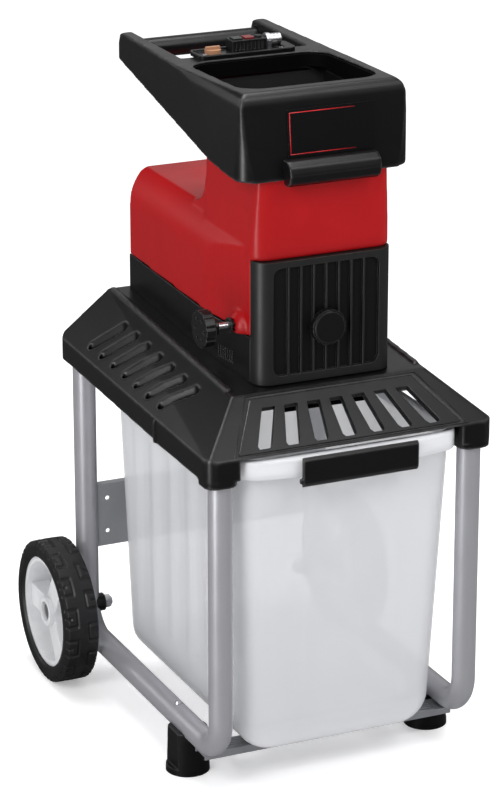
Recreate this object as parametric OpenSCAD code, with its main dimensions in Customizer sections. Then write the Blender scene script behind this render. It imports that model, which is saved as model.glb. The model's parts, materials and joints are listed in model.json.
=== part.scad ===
// Garden roller shredder on a tube frame with a pull-out collection box.
// Front faces -Y, floor at z = 0, x = 0 is the middle of the frame. Millimetres.

/* [Frame] */
// Outside diameter of the frame tubes
tube_d = 32; // [31:0.5:33]
// Wall thickness of the frame tubes
tube_wall = 1.5; // [1.2:0.1:2.5]
// Distance from the middle to each frame loop
leg_x = 180; // [179.5:0.1:180.5]
// Diameter of the front feet at the floor
foot_d = 60; // [56:1:60]

/* [Wheels] */
// Width of each wheel
wheel_w = 50; // [46:1:50]
// Diameter of the axle bolts
axle_d = 12; // [10:1:14]
// Lateral tread grooves around each shoulder
tread_count = 24; // [12:2:28]

/* [Collection box] */
// Wall thickness of the collection box
box_wall = 2.2; // [1.8:0.1:3]
// Height of the box rim band
rim_h = 26; // [20:1:30]

/* [Housings] */
// Wall thickness of the moulded housings
shell_t = 3; // [2.6:0.1:3.4]
// Thickness of the tray skin
tray_t = 3; // [2.6:0.1:3.6]

/* [Cutting unit] */
// Diameter of the blade roller
roller_d = 90; // [86:1:91]
// Blades around the roller
blade_count = 8; // [6:1:10]
// Gap from roller to pressure plate
cut_gap = 1.6; // [1.5:0.1:3]

/* [Motor] */
// Outside diameter of the motor can
motor_d = 140; // [130:2:141]
// Blades of the cooling fan
fan_blades = 12; // [8:1:16]

/* [Hidden] */
$fn = 48;
tr = tube_d / 2;
front_y = -262.6;
rear_y = 210;
base_z = 66;
bend = 48;
joint_y = -142;
leg_top = 478;
rear_leg_top = 500;
front_screw_z = 462;
rear_screw_z = 486;
foot_y = -152;
wheel_r = 103;
axle_y = 206;
axle_z = 103;
wheel_out = 253;
wheel_in = wheel_out - wheel_w;
roller_x = 20;
roller_z = 621;
motor_z = 668;
// gear centres: 61.25 mm roller to second shaft, 45 mm to first shaft, 32 mm to rotor
second_x = roller_x + 61.25 * cos(161.2);
second_z = roller_z + 61.25 * sin(161.2);
span = sqrt(pow(second_x, 2) + pow(motor_z - second_z, 2));
along = (45 * 45 - 32 * 32 + span * span) / (2 * span);
rise = sqrt(45 * 45 - along * along);
first_x = second_x + (along * -second_x - rise * (motor_z - second_z)) / span;
first_z = second_z + (along * (motor_z - second_z) + rise * -second_x) / span;
knob_y = -148;
table_rise = 0.0619;

// ---------- helpers ----------

function table_z(y) = 546 + table_rise * (y + 211);

// extrude a plan drawn in X and Z along Y, from a to b
module along_y(a, b) {
  translate([0, b, 0]) rotate([90, 0, 0]) linear_extrude(b - a) children();
}

// extrude a plan drawn in Y and Z along X, from a to b
module along_x(a, b) {
  translate([a, 0, 0]) rotate([90, 0, 90]) linear_extrude(b - a) children();
}

module block(x0, x1, y0, y1, z0, z1) {
  translate([x0, y0, z0]) cube([x1 - x0, y1 - y0, z1 - z0]);
}

// cylinder along X or Y between two values
module rod_x(r, a, b, y, z) {
  translate([a, y, z]) rotate([0, 90, 0]) cylinder(r = r, h = b - a);
}

module rod_y(r, a, b, x, z) {
  translate([x, b, z]) rotate([90, 0, 0]) cylinder(r = r, h = b - a);
}

// straight-sided frustum between two level rectangles
module frustum(x0, x1, y0, y1, z0, u0, u1, v0, v1, z1) {
  polyhedron(
    [[x0, y0, z0], [x1, y0, z0], [x1, y1, z0], [x0, y1, z0],
     [u0, v0, z1], [u1, v0, z1], [u1, v1, z1], [u0, v1, z1]],
    [[0, 1, 2, 3], [4, 5, 1, 0], [5, 6, 2, 1], [6, 7, 3, 2], [7, 4, 0, 3], [7, 6, 5, 4]]);
}

module round_plan(x0, x1, y0, y1, r) {
  union() {
    translate([x0 + r, y0]) square([x1 - x0 - 2 * r, y1 - y0]);
    translate([x0, y0 + r]) square([x1 - x0, y1 - y0 - 2 * r]);
    for (x = [x0 + r, x1 - r]) for (y = [y0 + r, y1 - r]) translate([x, y]) circle(r);
  }
}

// toothed wheel outline; "first" is the angle of one tooth
module gear_plan(teeth, m, first) {
  rr = m * (teeth / 2 - 1.2);
  rt = m * (teeth / 2 + 0.85);
  wr = 360 / teeth * 0.27;
  wt = 360 / teeth * 0.11;
  polygon([for (i = [0 : teeth - 1]) for (k = [0 : 3])
    let (a = first + 360 / teeth * i + [-wr, -wt, wt, wr][k], r = (k == 0 || k == 3) ? rr : rt)
    [r * cos(a), r * sin(a)]]);
}

module sides(s) {
  if (s > 0) children();
  else mirror([1, 0, 0]) children();
}

// ---------- frame ----------

module ring() {
  difference() {
    circle(tr);
    circle(tr - tube_wall);
  }
}

module leg(y, top) {
  translate([leg_x, y, base_z + bend]) linear_extrude(top - base_z - bend) ring();
}

module front_tube_side() {
  difference() {
    union() {
      leg(front_y, leg_top);
      translate([leg_x, front_y + bend, base_z + bend]) rotate([-90, 0, 0])
        rotate([0, 90, 0]) rotate_extrude(angle = 90) translate([bend, 0]) ring();
      translate([leg_x, front_y + bend, base_z]) rotate([-90, 0, 0])
        linear_extrude(joint_y - front_y - bend) ring();
      // reduced end that enters the rear loop
      translate([leg_x, joint_y - 14, base_z]) rotate([-90, 0, 0])
        linear_extrude(56) difference() {
          circle(tr - tube_wall - 0.05);
          circle(tr - tube_wall - 1.8);
        }
      translate([leg_x, joint_y - 14, base_z]) rotate([-90, 0, 0])
        linear_extrude(12) difference() {
          circle(tr - 0.5);
          circle(tr - tube_wall - 1.8);
        }
    }
    translate([leg_x, joint_y + 24, base_z]) cylinder(d = 5.2, h = 30);
    translate([leg_x, front_y, front_screw_z]) rotate([-90, 0, 0]) cylinder(d = 6.4, h = 30);
  }
}

module rear_tube_side() {
  difference() {
    union() {
      leg(rear_y, rear_leg_top);
      translate([leg_x, rear_y - bend, base_z + bend]) rotate([0, 90, 0])
        rotate_extrude(angle = 90) translate([bend, 0]) ring();
      translate([leg_x, joint_y + 0.2, base_z]) rotate([-90, 0, 0])
        linear_extrude(rear_y - bend - joint_y - 0.2) ring();
    }
    translate([leg_x, joint_y + 24, base_z]) cylinder(d = 5.2, h = 30);
    rod_x(axle_d / 2 + 0.15, leg_x - 30, leg_x + 30, axle_y, axle_z);
    translate([leg_x, rear_y, rear_screw_z]) rotate([90, 0, 0]) cylinder(d = 6.4, h = 30);
  }
}

module front_tube_left() { color("silver") sides(-1) front_tube_side(); }

module front_tube_right() { color("silver") sides(1) front_tube_side(); }

module rear_tube_left() { color("silver") sides(-1) rear_tube_side(); }

module rear_tube_right() { color("silver") sides(1) rear_tube_side(); }

// ribbed flat bar between the two bottom tubes
module cross_bar(y) {
  difference() {
    block(-leg_x - 4, leg_x + 4, y - 17, y + 17, 41, 51.2);
    for (s = [-1, 1]) translate([s * leg_x, y - 25, base_z]) rotate([-90, 0, 0])
      cylinder(r = tr + 0.05, h = 50);
    for (k = [-2 : 2]) block(-leg_x + 16, leg_x - 16, y + k * 6 - 1.5, y + k * 6 + 1.5, 49.8, 53);
    block(-leg_x - 10, leg_x + 10, y - 14, y + 14, 40, 44.5);
    for (s = [-1, 1]) block(s * leg_x - 20, s * leg_x + 20, y - 18, y + 18, 50.2, 53);
  }
}

module front_crossbar() { color("silver") cross_bar(-203); }

// ledges inside the tray skirt that carry the box rim
module box_rails() {
  color("silver") for (s = [-1, 1]) sides(s) {
    block(153.6, 202.8, -80, 96, 466.6, 468.6);
    block(201.2, 202.8, -80, 96, 468.6, 484);
  }
}

module rear_cross_plate() {
  color("silver") difference() {
    union() {
      block(-leg_x + 4, leg_x - 4, 204, 206, 190, 284);
      for (z = [190, 282]) block(-leg_x + 6, leg_x - 6, 206, 216, z, z + 2);
    }
    for (s = [-1, 1]) translate([s * leg_x, rear_y, 150]) cylinder(r = tr + 0.05, h = 160);
    for (s = [-1, 1]) for (z = [212, 262]) rod_y(3.2, 200, 210, s * 150, z);
  }
}

module foot_side() {
  difference() {
    translate([leg_x + 0.5, foot_y, 0]) cylinder(d1 = foot_d, d2 = foot_d - 5, h = 61);
    translate([leg_x, foot_y - 40, base_z]) rotate([-90, 0, 0]) cylinder(r = tr + 0.05, h = 80);
    block(leg_x + 22.5, leg_x + 40, foot_y - 40, foot_y + 40, 9, 70);
    translate([leg_x, foot_y, -1]) cylinder(d = 22, h = 9);
  }
}

module front_foot_left() { color([0.09, 0.09, 0.1]) sides(-1) foot_side(); }

module front_foot_right() { color([0.09, 0.09, 0.1]) sides(1) foot_side(); }

module frame_screws() {
  color("gainsboro") for (s = [-1, 1]) {
    // loop joints
    translate([s * leg_x, joint_y + 24, 0]) {
      translate([0, 0, 74]) cylinder(d = 5, h = 8.1);
      difference() {
        translate([0, 0, 82.1]) cylinder(d1 = 11, d2 = 7, h = 3.2);
        translate([0, 0, 84]) cube([7, 1.4, 3], center = true);
      }
    }
    // legs in the tray sockets
    for (e = [[front_y, -90, 22.65, front_screw_z], [rear_y, 90, 22.05, rear_screw_z]])
      translate([s * leg_x, e[0], e[3]]) rotate([e[1], 0, 0]) {
        translate([0, 0, 12]) cylinder(d = 6, h = e[2] - 12);
        translate([0, 0, e[2]]) cylinder(d = 10, h = 3, $fn = 6);
      }
  }
}

// ---------- wheels ----------

module tyre_side() {
  difference() {
    translate([wheel_in, axle_y, axle_z]) rotate([0, 90, 0]) rotate_extrude() polygon([
      [80, 2], [94, 0], [99.5, 3.5], [wheel_r - 0.6, 11], [wheel_r, wheel_w / 2],
      [wheel_r - 0.6, wheel_w - 11], [99.5, wheel_w - 3.5], [94, wheel_w], [80, wheel_w - 2]]);
    for (i = [0 : tread_count - 1]) for (k = [0, 1])
      translate([0, axle_y, axle_z]) rotate([360 / tread_count * (i + k / 2), 0, 0])
        translate([wheel_in + (k == 0 ? -1 : wheel_w - 17), -1.2, wheel_r - 3.5]) cube([18, 2.4, 6]);
  }
}

module hub_side() {
  mid = wheel_out - wheel_w / 2;
  difference() {
    union() {
      rod_x(79.95, wheel_in + 5, wheel_out - 5, axle_y, axle_z);
      rod_x(20, 204, 248, axle_y, axle_z);
    }
    difference() {
      rod_x(72, 200, 254, axle_y, axle_z);
      rod_x(21, 198, 255, axle_y, axle_z);
      for (i = [0 : 2]) translate([mid, axle_y, axle_z]) rotate([120 * i + 30, 0, 0])
        translate([-13, -17, 0]) cube([26, 34, 80]);
    }
    rod_x(axle_d / 2 + 0.06, 200, 254, axle_y, axle_z);
    rod_x(14, 238, 254, axle_y, axle_z);
  }
}

module tyre_left() { color([0.1, 0.1, 0.11]) sides(-1) tyre_side(); }

module tyre_right() { color([0.1, 0.1, 0.11]) sides(1) tyre_side(); }

module hub_left() { color("darkgray") sides(-1) hub_side(); }

module hub_right() { color("darkgray") sides(1) hub_side(); }

module bolt_side() {
  rod_x(axle_d / 2, 146, 238.4, axle_y, axle_z);
  translate([238.4, axle_y, axle_z]) rotate([0, 90, 0]) cylinder(r = 11, h = 7, $fn = 6);
}

module axle_bolt_left() { color("gainsboro") sides(-1) bolt_side(); }

module axle_bolt_right() { color("gainsboro") sides(1) bolt_side(); }

module axle_nuts() {
  color("gainsboro") for (s = [-1, 1]) sides(s) difference() {
    translate([149, axle_y, axle_z]) rotate([0, 90, 0]) cylinder(r = 10.5, h = 9, $fn = 6);
    rod_x(axle_d / 2 + 0.05, 148, 160, axle_y, axle_z);
  }
}

module axle_spacers() {
  color([0.1, 0.1, 0.11]) for (s = [-1, 1]) sides(s) {
    difference() {
      union() {
        rod_x(13, 158.3, 172, axle_y, axle_z);
        rod_x(12, 186, 203.6, axle_y, axle_z);
      }
      rod_x(axle_d / 2 + 0.1, 150, 210, axle_y, axle_z);
      rear_tube_void();
    }
  }
}

// space taken by the rear loop, cut from the spacers that sit against it
module rear_tube_void() {
  translate([leg_x, rear_y - bend, base_z + bend]) rotate([0, 90, 0])
    rotate_extrude(angle = 90) translate([bend, 0]) circle(tr + 0.05);
  translate([leg_x, rear_y, base_z + bend]) cylinder(r = tr + 0.05, h = 60);
}

// ---------- tray ----------

module tray_form(g) {
  w = 206 - g;
  r = 140 - 0.45 * g;
  f = -284 + g;
  b = 238 - g;
  d = 1.2 * g;
  polyhedron([
    [-w, f, 440], [w, f, 440], [w, b, 440], [-w, b, 440],
    [-w, f, 487 - d], [w, f, 487 - d], [w, b, 503 - d], [-w, b, 503 - d],
    [-r, -211 + 0.4 * g, 546 - g], [r, -211 + 0.4 * g, 546 - g],
    [r, 212 - 0.4 * g, 572.2 - g], [-r, 212 - 0.4 * g, 572.2 - g]],
    [[0, 1, 2, 3], [4, 5, 1, 0], [6, 7, 3, 2], [5, 6, 2], [5, 2, 1], [7, 4, 0], [7, 0, 3],
     [8, 9, 5, 4], [10, 11, 7, 6], [9, 10, 6], [9, 6, 5], [11, 8, 4], [11, 4, 7],
     [11, 10, 9, 8]]);
}

// plan outline with round corners
module tray_plan(g, r) {
  translate([0, 0, 430]) linear_extrude(150)
    round_plan(-206 + g, 206 - g, -284 + g, 238 - g, r - g);
}

module skirt_cut() {
  along_x(-210, 210) polygon([[-290, 430], [-290, 457], [-114, 458], [-106, 461],
    [250, 473], [250, 430]]);
}

module tray_slots() {
  for (s = [-1, 1]) sides(s) difference() {
    for (i = [0 : 6]) translate([0, 132 - 41 * i, 0]) linear_extrude(600)
      polygon([[155, -29], [158, -31], [162, -30], [193, 7], [196, 13], [196, 20], [191, 22],
        [155, -17]]);
    tray_form(9);
  }
}

module tray() {
  color([0.1, 0.1, 0.1]) difference() {
    union() {
      difference() {
        intersection() {
          tray_form(0);
          tray_plan(0, 16);
        }
        intersection() {
          tray_form(tray_t);
          tray_plan(tray_t, 16);
        }
        skirt_cut();
        block(-159.6, 159.6, -300, -270, 430, 484.6);
      }
      difference() {
        intersection() {
          tray_form(0.5);
          union() for (s = [-1, 1]) sides(s) block(150, 200, -146, 160, 470, 580);
        }
        tray_form(12);
      }
      intersection() {
        tray_form(0.5);
        for (s = [-1, 1]) sides(s) {
          translate([0, 0, 449]) linear_extrude(61) round_plan(159.8, 205.6, -283.6, -240, 15.6);
          translate([0, 0, 471]) linear_extrude(60) round_plan(159.8, 205.6, 188, 237.6, 15.6);
        }
      }
      // rims along the flat top, and upright ribs on the skirts
      for (s = [-1, 1]) sides(s) {
        along_x(132.5, 139.6) polygon([[-196, table_z(-196) - 1], [-192, table_z(-192) + 3],
          [206, table_z(206) + 3], [210, table_z(210) - 1]]);
        translate([203.4, -109, 458]) cylinder(r = 5, h = 31);
      }
    }
    tray_slots();
    for (s = [-1, 1]) for (e = [[front_y, -90, leg_top, front_screw_z],
      [rear_y, 90, rear_leg_top, rear_screw_z]]) {
      translate([s * leg_x, e[0], 430]) cylinder(r = tr + 0.08, h = e[2] - 429.5);
      translate([s * leg_x, e[0], e[3]]) rotate([e[1], 0, 0]) cylinder(d = 6.4, h = 40);
    }
    // opening under the cutting chamber
    block(-52, 84, -170, -76, 430, 600);
    grille_cut(0.25, 6);
    difference() {
      grille_cut(-5, 20);
      tray_form(20);
    }
  }
}

// trapezoid field in the front slope, "e" larger all round and "deep" into the skin
module grille_cut(e, deep) {
  translate([0, -211, 546]) rotate([38.95, 0, 0]) translate([0, 0, -deep]) linear_extrude(deep + 6)
    polygon([[-116 - e, -8 + e], [116 + e, -8 + e], [160 + e, -88 - e], [-160 - e, -88 - e]]);
}

module front_grille() {
  color([0.1, 0.1, 0.1]) {
    translate([0, -211, 546]) rotate([38.95, 0, 0]) translate([0, 0, -3.2]) difference() {
      union() {
        linear_extrude(3) polygon([[-116, -8], [116, -8], [160, -88], [-160, -88]]);
        translate([0, 0, -6]) linear_extrude(7)
          polygon([[-108, -15], [108, -15], [150, -86], [-150, -86]]);
      }
      for (i = [-3 : 3]) translate([0, 0, -10]) linear_extrude(20)
        polygon([[i * 32 - 9.5, -23], [i * 32 + 9.5, -23], [i * 40.2 + 10, -79],
          [i * 40.8 + 7, -83.5], [i * 40.8 - 7, -83.5], [i * 40.2 - 10, -79]]);
    }
  }
}

// ---------- collection box ----------

module box_form(g, top) {
  hull() {
    for (s = [-1, 1]) {
      rod_fine(40 - g, -238 + g, 146 - g, s * 100, 92);
      rod_fine(34 - g, -248 + g, 156 - g, s * 100, 92);
      translate([s * 124, -247, 452]) cylinder(r = 28 - g, h = top, $fn = 32);
      translate([s * 124, 142, 452]) cylinder(r = 28 - g, h = top, $fn = 32);
    }
  }
}

module rod_fine(r, a, b, x, z) {
  translate([x, b, z]) rotate([90, 0, 0]) cylinder(r = r, h = b - a, $fn = 32);
}

module collection_box() {
  color([0.9, 0.91, 0.93, 0.6]) difference() {
    union() {
      box_form(0, 29);
      difference() {
        translate([0, 0, 478.6]) linear_extrude(2.4) round_plan(-158, 158, -280, 175.5, 24);
        translate([0, 0, 470]) linear_extrude(20) round_plan(-140, 140, -262, 158, 20);
      }
      // rolled rim band with a bowed front
      difference() {
        translate([0, 0, 481 - rim_h]) linear_extrude(rim_h) union() {
          round_plan(-158.6, 158.6, -281, 176, 24);
          intersection() {
            translate([0, 390]) circle(690, $fn = 96);
            translate([-158, -302]) square([316, 60]);
          }
        }
        translate([0, 0, 470 - rim_h]) linear_extrude(rim_h + 8)
          round_plan(-156.4, 156.4, -278.8, 173.8, 22);
        block(-170, 170, -236, 190, 440, 470);
      }
      for (s = [-1, 1]) for (y = [-228, -172])
        block(s > 0 ? 149 : -155, s > 0 ? 155 : -149, y, y + 24, 441, 458);
    }
    box_form(box_wall, 60);
  }
}

module box_catch() {
  color([0.09, 0.09, 0.1]) difference() {
    union() {
      along_x(-83, 83) polygon([[-309, 449], [-305, 444], [-302.9, 444], [-302.9, 484.4],
        [-304.5, 485], [-309, 481]]);
      block(-87, -83, -307, -303, 449, 456);
    }
    block(-77, 77, -305.4, -302, 451, 477);
  }
}

module discharge_chute() {
  color([0.12, 0.12, 0.13]) difference() {
    union() {
      frustum(-44, 76, -164, -80, 495, -46, 78, -166, -78, 561.8);
      block(-50, 82, -168, -78, 558.5, 561.8);
    }
    frustum(-41.5, 73.5, -161.5, -82.5, 490, -43.5, 75.5, -163.5, -80.5, 565);
  }
}

// ---------- housings ----------

module plan_outline(g) {
  polygon([[110 - g, 206 - g], [110 - g, -60 - g * 0.2], [98.5 - g, -176 + g],
    [-98.5 + g, -176 + g], [-110 + g, -60 - g * 0.2], [-110 + g, 206 - g]]);
}

module base_housing() {
  color([0.09, 0.09, 0.1]) difference() {
    intersection() {
      translate([0, 0, 540]) linear_extrude(100) plan_outline(0);
      along_x(-120, 120) polygon([[-180, table_z(-180) + 0.15], [210, table_z(210) + 0.15],
        [210, 620], [-180, 609.8]]);
    }
    translate([0, 0, 530]) linear_extrude(120) plan_outline(shell_t);
    front_window();
    // side louvres
    for (s = [-1, 1]) for (i = [0 : 6])
      block(s * 105 - 12, s * 105 + 12, -132 + i * 6, -129 + i * 6, 562, 578);
    for (i = [-6 : 6]) block(i * 12 - 2.5, i * 12 + 2.5, 195, 210, 582, 606);
  }
}

module front_window() {
  block(-82, 82, -185, -160, 555, 694);
}

// section across the motor bulge: upright sides, round shoulders, flat roof
module bulge_section(g) {
  intersection() {
    translate([-110 + g, 590]) square([220 - 2 * g, 156 - g]);
    union() {
      translate([-110 + g, 590]) square([220 - 2 * g, 104]);
      for (s = [-1, 1]) translate([s * 42.2, 694]) circle(67.8 - g);
      translate([-42.2, 684]) square([84.4, 80]);
    }
  }
}

// upper casing: motor bulge and neck, inset by g
module upper_form(g) {
  intersection() {
    translate([0, 0, 590]) linear_extrude(170) plan_outline(g);
    along_y(-180, 206 - g) bulge_section(g);
    along_x(-120, 120) union() {
      translate([-180, 590]) square([386 - g, 144]);
      translate([-180, 590]) square([373, 157 - g]);
      translate([193, 734]) circle(13 - g);
    }
  }
  // neck
  intersection() {
    translate([0, 0, 715 + g]) linear_extrude(200)
      round_plan(-100 + g, 100 - g, -192 + g, -18 - g, 22 - g);
    along_y(-200, -16) polygon([[-100 + g, 700], [100 - g, 700], [99.2 - g, 727],
      [94 - g, 800], [90 - g, 880], [-90 + g, 880], [-94 + g, 800], [-99.2 + g, 727]]);
    along_x(-120, 120) polygon([[-192 + g, 700], [-192 + g, 800], [-190.5 + g, 832],
      [-184 + g, 880], [-20 - g, 880], [-18 - g, 800], [-18 - g, 700]]);
  }
  // fillet between neck and bulge
  intersection() {
    along_x(-93 + g, 93 - g) difference() {
      polygon([[-30, 736], [22 - g, 736], [22 - g, 746 - g], [-18 - g, 786 - g], [-30, 786 - g]]);
      translate([22 - g, 786 - g]) circle(40);
    }
    along_y(-40, 40) polygon([[-97 + g, 730], [97 - g, 730], [94 - g, 800], [-94 + g, 800]]);
  }
}

module upper_housing() {
  color([0.7, 0.1, 0.12]) difference() {
    union() {
      difference() {
        upper_form(0);
        upper_form(shell_t);
      }
      // swelling round the adjusting screw
      intersection() {
        translate([-91, knob_y, roller_z]) sphere(23);
        block(-130, -98, -180, -110, 590, 650);
      }
    }
    // parting plane with the base
    along_x(-130, 130) polygon([[-200, 590], [-200, 609.5], [220, 620.5], [220, 590]]);
    block(-85, 85, -179, -24.5, 870, 890);
    difference() {
      front_window();
      block(-83, 83, -180, -160, 611, 631);
    }
    rod_y(5.3, -180, -160, 0, 621);
    rod_x(8, -130, -90, knob_y, roller_z);
  }
}

module cover_plan(g) {
  intersection() {
    round_plan(-98 + g, 98 - g, -200 + g, -140, 22 - g);
    translate([-100, -210]) square([200, 33.6]);
  }
}

module front_cover() {
  color([0.2, 0.2, 0.19]) difference() {
    translate([0, 0, 548.5]) linear_extrude(166.2) cover_plan(0);
    translate([0, 0, 552]) linear_extrude(159.2) intersection() {
      cover_plan(3.4);
      translate([-100, -193.4]) square([200, 60]);
    }
    // recessed field, ribs and boss left standing
    difference() {
      along_y(-204, -195) round_plan(-76, 76, 560, 706, 12);
      for (i = [-3 : 3]) block(i * 18 - 1.3, i * 18 + 1.3, -210, -160, 555, 710);
      rod_y(20, -210, -160, 0, 621);
    }
    rod_y(5.35, -210, -150, 0, 621);
  }
}

module cover_knob() {
  color([0.09, 0.09, 0.1]) union() {
    difference() {
      union() {
        rod_y(24, -210, -201, 0, 621);
        rod_y(21, -212.5, -210, 0, 621);
      }
      for (i = [0 : 11]) translate([0, -205, 621]) rotate([0, 30 * i, 0])
        translate([26.5, 0, 0]) rotate([90, 0, 0]) cylinder(r = 3.4, h = 40, center = true);
    }
    rod_y(5, -201.5, -172.6, 0, 621);
  }
}

// ---------- hopper ----------

module hopper_side_cut() {
  along_x(-130, 130) polygon([[-210, 790], [-210, 822], [-198, 822], [-94, 829], [250, 890],
    [250, 790]]);
}

module hopper_form(g) {
  intersection() {
    translate([0, 0, 800]) linear_extrude(140) intersection() {
      round_plan(-122 + g, 122 - g, -199 + g, 300, 24 - g);
      // the arms draw in towards the back
      polygon([[-123 + g, -210], [123 - g, -210], [123 - g, -170], [107 - g, 250], [-107 + g, 250],
        [-123 + g, -170]]);
    }
    along_y(-210, 246 - g) polygon([[-122 + g, 800], [122 - g, 800], [122 - g, 828],
      [117.5 - g, 922], [114.5 - g, 931], [107 - g, 937.5 - g], [-107 + g, 937.5 - g],
      [-114.5 + g, 931], [-117.5 + g, 922], [-122 + g, 828]]);
    along_x(-130, 130) polygon([[-199 + g, 800], [-199 + g, 828], [-189 + g, 922],
      [-186 + g, 931], [-178 + g, 937 - g], [28, 930 - g], [228 - g, 930 - g], [240 - g, 926],
      [245 - g, 914], [246 - g, 800]]);
  }
}

module hopper() {
  color([0.11, 0.11, 0.12]) difference() {
    hopper_form(0);
    difference() {
      hopper_form(shell_t + 0.4);
      // inner walls of the arms and the bridge wall behind the opening
      for (s = [-1, 1]) sides(s) block(92, 95.2, 54, 260, 800, 940);
      block(-95, 95, 54, 57, 800, 940);
    }
    hopper_side_cut();
    // open bay between the arms
    block(-92, 92, 57, 260, 800, 940);
    // feed opening
    translate([0, 0, 900]) linear_extrude(50) round_plan(-99, 99, -160, 28, 34);
    rod_x(14.1, -95.4, 95.4, 226, 905);
  }
}

module feed_throat() {
  color([0.08, 0.08, 0.09]) difference() {
    union() {
      intersection() {
        translate([0, 0, 906.5]) linear_extrude(40) round_plan(-101, 101, -162, 30, 36);
        along_x(-110, 110) polygon([[-178, 900], [60, 900], [60, 926.4], [28, 926.4], [-178, 933.2]]);
      }
      frustum(-82, 82, -174, -28, 878, -101, 101, -162, 30, 909);
      frustum(-61, 69, -163, -82, 726, -82, 82, -174, -28, 878);
      frustum(-56, 66, -161, -87, 684, -61, 69, -163, -82, 726);
    }
    translate([0, 0, 905]) linear_extrude(40) round_plan(-98, 98, -159, 27, 33);
    frustum(-79, 79, -171, -31, 877, -98, 98, -159, 27, 909);
    frustum(-58, 66, -160, -85, 725.8, -79, 79, -171, -31, 877.2);
    frustum(-53, 63, -158, -90, 680, -58, 66, -160, -85, 726);
  }
}

module carry_handle() {
  color([0.1, 0.1, 0.11]) difference() {
    rod_x(14, -95.2, 95.2, 226, 905);
    rod_x(11, -99, 99, 226, 905);
  }
}

module front_grip() {
  color([0.08, 0.08, 0.09]) difference() {
    union() {
      difference() {
        along_x(-62, 68) polygon([[-190, 817], [-210, 816], [-219, 822], [-222.5, 833],
          [-219, 844], [-210, 850], [-190, 850]]);
        along_x(-59, 65) polygon([[-190, 820], [-209, 819], [-216, 824], [-219, 833],
          [-216, 842], [-209, 847], [-190, 847]]);
      }
      for (x = [-20, 26]) along_x(x - 1.2, x + 1.2) polygon([[-190, 818], [-210, 817],
        [-220, 833], [-210, 849], [-190, 849]]);
    }
    hopper_form(-0.1);
    block(-80, 80, -199.1, -150, 800, 822);
  }
}

// front face of the hopper leans back by 6.07 degrees
module label_plate() {
  color([0.05, 0.05, 0.05]) translate([0, -199, 828]) rotate([-6.07, 0, 0]) difference() {
    along_x(-54, 70) polygon([[-1.3, 23.5], [-0.1, 23.5], [-0.1, 85], [-1.3, 85]]);
    block(-51, 42, -3, -0.9, 26.5, 27.7);
    block(-51, 42, -3, -0.9, 80, 81.2);
    block(-51, -49.8, -3, -0.9, 26.5, 81);
  }
}

// ---------- controls ----------

module control_panel() {
  color([0.11, 0.11, 0.12]) difference() {
    union() {
      translate([0, 0, 930.1]) linear_extrude(6) round_plan(-76, 64, 30, 72, 8);
      block(-60, 52, 58, 71, 912, 931);
    }
    translate([0, 0, 933]) linear_extrude(6) round_plan(-74, 50, 34, 68, 6);
  }
}

module panel_screws() {
  color("gainsboro") for (p = [[-66, 40], [44, 38], [44, 62]]) translate([p[0], p[1], 933.1])
    difference() {
      cylinder(d = 6.5, h = 2.6);
      translate([0, 0, 2.4]) cube([5, 1, 2], center = true);
      translate([0, 0, 2.4]) cube([1, 5, 2], center = true);
    }
}

module switch_block() {
  color([0.14, 0.14, 0.15]) difference() {
    block(-24, 26, 44, 66, 933.1, 949);
    block(-21, -7, 47, 63, 937, 952);
    block(-4, 10, 47, 63, 937, 952);
    translate([18, 55, 937]) cylinder(d = 11, h = 20);
    for (i = [0 : 7]) block(-20 + i * 5.5, -18 + i * 5.5, 43, 45, 936, 946);
  }
}

module on_button() {
  color([0.1, 0.45, 0.2]) block(-20.5, -7.5, 47.5, 62.5, 941.5, 951);
}

module off_button() {
  color([0.75, 0.1, 0.1]) block(-3.5, 9.5, 47.5, 62.5, 941.5, 951);
}

module reset_button() {
  color([0.1, 0.1, 0.1]) translate([18, 55, 941.5]) cylinder(d = 10, h = 10);
}

module direction_knob() {
  color([0.85, 0.6, 0.45]) union() {
    translate([-50, 51, 933.2]) cylinder(d = 22, h = 6);
    translate([-50, 51, 939]) cube([20, 5, 8], center = true);
  }
}

module power_inlet() {
  color("silver") difference() {
    union() {
      rod_x(9.5, 28, 34, 56, 943.5);
      rod_x(8, 34, 50, 56, 943.5);
      block(28, 34, 46, 66, 933.2, 944);
    }
    rod_x(6, 36, 52, 56, 943.5);
  }
}

// ---------- cutting unit ----------

module cutting_chamber() {
  color("gray") difference() {
    block(-62, 80, -171, -81, 562, 683.6);
    difference() {
      rod_y(48, -160, -92, roller_x, roller_z);
      block(-100, -28.4, -200, -50, 500, 800);
    }
    block(-56, roller_x, -160, -92, 590, 654);
    block(-50, 60, -160, -92, 650, 690);
    block(-40, 70, -160, -92, 560, 592);
    for (y = [-171.5, -92.5]) rod_y(17.5, y, y + 12, roller_x, roller_z);
    rod_x(8, -70, -50, knob_y, roller_z);
  }
}

module roller_plan() {
  difference() {
    circle(roller_d / 2);
    for (i = [0 : blade_count - 1]) rotate(360 / blade_count * i)
      translate([roller_d / 2 - 9, 0]) polygon([[0, 0], [20, -2], [20, 22], [8, 20], [1, 10]]);
    circle(7.5);
  }
}

module blade_roller() {
  color("dimgray") union() {
    along_y(-158.5, -93.5) translate([roller_x, roller_z]) roller_plan();
    rod_y(7.5, -170, -56, roller_x, roller_z);
  }
}

module roller_bearings() {
  color("silver") for (y = [-171, -92]) difference() {
    rod_y(17.45, y, y + 11, roller_x, roller_z);
    rod_y(7.55, y - 1, y + 12, roller_x, roller_z);
  }
}

module pressure_plate() {
  face = roller_x - roller_d / 2 - cut_gap;
  color("slategray") difference() {
    block(-46, face, -159.4, -92.6, 591, 652);
    rod_x(5.4, -47, -30.5, knob_y, roller_z);
    for (i = [0 : 5]) block(face - 1.2, face + 1, -158 + i * 11, -153 + i * 11, 600, 646);
  }
}

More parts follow.
